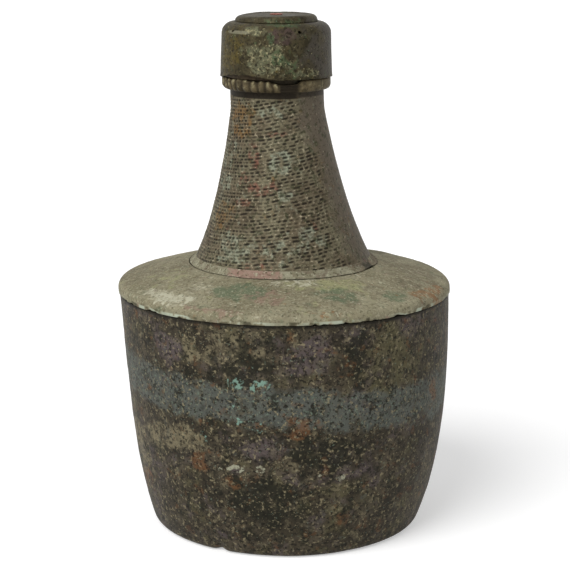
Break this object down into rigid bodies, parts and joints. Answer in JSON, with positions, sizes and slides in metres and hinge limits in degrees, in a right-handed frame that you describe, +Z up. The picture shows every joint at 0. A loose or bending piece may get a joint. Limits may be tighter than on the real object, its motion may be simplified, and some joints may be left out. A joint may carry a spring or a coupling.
{
  "type": "bronze flask with cap",
  "caption": "Squat bronze flask with a sloping flat shoulder, a hollow-sided hammered neck, a half-round collar and a lift-off stepped cap.",
  "frame": {"origin": "middle of the shoulder's outline, on the surface that the flask stands on", "axes": "+Z up through the neck, -Y towards the front that the picture shows, +X to the viewer's right"},
  "size_m": [0.1629, 0.1628, 0.25],
  "materials": {
    "wall": "hammered bronze, dark mottled patina with pale crust",
    "shoulder": "hammered bronze, grey-green and olive patina",
    "solder_crust": "soft solder under pale crust",
    "neck": "hammered bronze, rows of hammer marks, olive and red-brown patina",
    "collar": "bronze ring, crushed along one side, olive-brown patina",
    "mouth": "bronze, plain dark brown patina",
    "cap": "bronze, mottled olive and grey patina",
    "rivet": "torn copper rivet with red oxide"
  },
  "bodies": {
    "flask": {"base_disc": "wall", "body_wall": "wall", "shoulder_plate": "shoulder", "neck_foot_solder": "solder_crust", "neck": "neck", "collar_ring": "collar", "mouth_tube": "mouth"},
    "cap": {"cap_shell": "cap", "cap_plate": "cap", "knob_rivet": "rivet", "rivet_washer": "mouth"}
  },
  "joints": [
    {"name": "cap_lift", "type": "slide", "parent": "flask", "child": "cap", "axis": [0, 0, 1], "range_m": [0, 0.04]}
  ]
}
